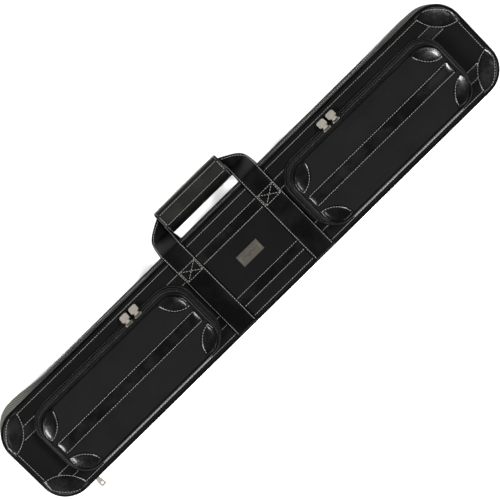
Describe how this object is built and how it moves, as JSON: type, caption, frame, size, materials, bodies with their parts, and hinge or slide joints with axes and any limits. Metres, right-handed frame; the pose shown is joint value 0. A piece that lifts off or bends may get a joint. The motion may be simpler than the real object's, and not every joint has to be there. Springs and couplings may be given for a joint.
{
  "type": "cue case",
  "caption": "Soft zip-round cue case that opens like a book, with channels for butts and shafts inside, accessory pockets on the front and a padded carrying handle.",
  "frame": {"origin": "middle of the back panel's outer face, on the surface that the case lies on", "axes": "+X along the case, +Y towards the carrying handle, +Z out of the pocket face"},
  "size_m": [0.8668, 0.224, 0.104],
  "materials": {
    "shell_fabric": "matte ballistic weave, charcoal",
    "gusset_fabric": "ribbed webbing weave",
    "glossy_leather": "polished black leather, light stitching",
    "piping_leather": "black bound edge",
    "zip_tape": "woven tape with nylon coil",
    "champagne_metal": "satin champagne plating",
    "foam_lining": "foam covered in short velour",
    "elastic_band": "ribbed elastic"
  },
  "bodies": {
    "base": {"back_panel": "shell_fabric", "back_piping": "piping_leather", "back_gusset": "gusset_fabric", "back_zip_half": "zip_tape", "base_foam_floor": "foam_lining", "base_dividers": "foam_lining", "base_end_pads": "foam_lining", "cue_bands": "elastic_band", "hinge_strip": "glossy_leather", "rear_strap_left": "glossy_leather", "rear_strap_right": "glossy_leather"},
    "lid": {"front_panel": "shell_fabric", "front_piping": "piping_leather", "front_gusset": "gusset_fabric", "front_zip_half": "zip_tape", "zip_end_gusset": "gusset_fabric", "front_corner_patches": "glossy_leather", "stripe_upper": "glossy_leather", "stripe_lower": "glossy_leather", "name_plate": "champagne_metal", "plate_rivets": "champagne_metal", "lid_foam_floor": "foam_lining", "lid_dividers": "foam_lining", "lid_end_pads": "foam_lining", "front_strap_left": "glossy_leather", "pocket_gusset_left": "gusset_fabric", "pocket_lower_zip_left": "zip_tape", "pocket_hinge_left": "glossy_leather", "front_strap_right": "glossy_leather", "pocket_gusset_right": "gusset_fabric", "pocket_lower_zip_right": "zip_tape", "pocket_hinge_right": "glossy_leather"},
    "rear_handle": {"rear_handle": "glossy_leather", "rear_grip": "glossy_leather"},
    "front_handle": {"front_handle": "glossy_leather", "front_grip": "glossy_leather"},
    "grip_flap": {"grip_flap": "glossy_leather"},
    "main_slider": {"main_slider": "champagne_metal"},
    "main_tab": {"main_tab": "champagne_metal"},
    "pocket_flap_left": {"pocket_upper_zip_left": "zip_tape", "pocket_band_left": "gusset_fabric", "pocket_piping_left": "piping_leather", "pocket_panel_left": "shell_fabric", "pocket_stripe_left": "glossy_leather", "pocket_patches_left": "glossy_leather"},
    "slider_left_1": {"slider_left_1": "champagne_metal"},
    "tab_left_1": {"tab_left_1": "champagne_metal"},
    "slider_left_2": {"slider_left_2": "champagne_metal"},
    "tab_left_2": {"tab_left_2": "champagne_metal"},
    "pocket_flap_right": {"pocket_upper_zip_right": "zip_tape", "pocket_band_right": "gusset_fabric", "pocket_piping_right": "piping_leather", "pocket_panel_right": "shell_fabric", "pocket_stripe_right": "glossy_leather", "pocket_patches_right": "glossy_leather"},
    "slider_right_1": {"slider_right_1": "champagne_metal"},
    "tab_right_1": {"tab_right_1": "champagne_metal"},
    "slider_right_2": {"slider_right_2": "champagne_metal"},
    "tab_right_2": {"tab_right_2": "champagne_metal"}
  },
  "joints": [
    {"name": "lid_hinge", "type": "hinge", "parent": "base", "child": "lid", "pos_m": [0, -0.07485, 0.039], "axis": [1, 0, 0], "range_deg": [0, 165], "deforming": ["hinge_strip", "zip_end_gusset"]},
    {"name": "front_handle_fold", "type": "hinge", "parent": "lid", "child": "front_handle", "pos_m": [0, 0.0728, 0.0808], "axis": [1, 0, 0], "range_deg": [0, 150]},
    {"name": "rear_handle_fold", "type": "hinge", "parent": "base", "child": "rear_handle", "pos_m": [0, 0.0728, -0.0002], "axis": [-1, 0, 0], "range_deg": [0, 110]},
    {"name": "grip_flap_open", "type": "hinge", "parent": "front_handle", "child": "grip_flap", "pos_m": [0, 0.1235, 0.0542], "axis": [-1, 0, 0], "range_deg": [0, 120]},
    {"name": "main_slider_run", "type": "slide", "parent": "base", "child": "main_slider", "axis": [-1, 0, 0], "range_m": [0, 0.008]},
    {"name": "main_tab_swing", "type": "hinge", "parent": "main_slider", "child": "main_tab", "pos_m": [-0.378, -0.077, 0.039], "axis": [1, 0, 0], "range_deg": [-60, 85]},
    {"name": "pocket_flap_left_hinge", "type": "hinge", "parent": "lid", "child": "pocket_flap_left", "pos_m": [-0.241, -0.06185, 0.0905], "axis": [1, 0, 0], "range_deg": [0, 110], "deforming": ["pocket_hinge_left"]},
    {"name": "slider_left_1_run", "type": "slide", "parent": "pocket_flap_left", "child": "slider_left_1", "axis": [-1, 0, 0], "range_m": [0, 0.1565]},
    {"name": "tab_left_1_swing", "type": "hinge", "parent": "slider_left_1", "child": "tab_left_1", "pos_m": [-0.1855, 0.05078, 0.09161], "axis": [1, 0, 0], "range_deg": [0, 125]},
    {"name": "slider_left_2_run", "type": "slide", "parent": "pocket_flap_left", "child": "slider_left_2", "axis": [1, 0, 0], "range_m": [0, 0.0285]},
    {"name": "tab_left_2_swing", "type": "hinge", "parent": "slider_left_2", "child": "tab_left_2", "pos_m": [-0.1685, 0.05078, 0.09161], "axis": [1, 0, 0], "range_deg": [0, 125]},
    {"name": "pocket_flap_right_hinge", "type": "hinge", "parent": "lid", "child": "pocket_flap_right", "pos_m": [0.241, -0.06185, 0.0905], "axis": [1, 0, 0], "range_deg": [0, 110], "deforming": ["pocket_hinge_right"]},
    {"name": "slider_right_1_run", "type": "slide", "parent": "pocket_flap_right", "child": "slider_right_1", "axis": [-1, 0, 0], "range_m": [0, 0.0535]},
    {"name": "tab_right_1_swing", "type": "hinge", "parent": "slider_right_1", "child": "tab_right_1", "pos_m": [0.1935, 0.05078, 0.09161], "axis": [1, 0, 0], "range_deg": [0, 125]},
    {"name": "slider_right_2_run", "type": "slide", "parent": "pocket_flap_right", "child": "slider_right_2", "axis": [1, 0, 0], "range_m": [0, 0.1315]},
    {"name": "tab_right_2_swing", "type": "hinge", "parent": "slider_right_2", "child": "tab_right_2", "pos_m": [0.2105, 0.05078, 0.09161], "axis": [1, 0, 0], "range_deg": [0, 125]}
  ]
}
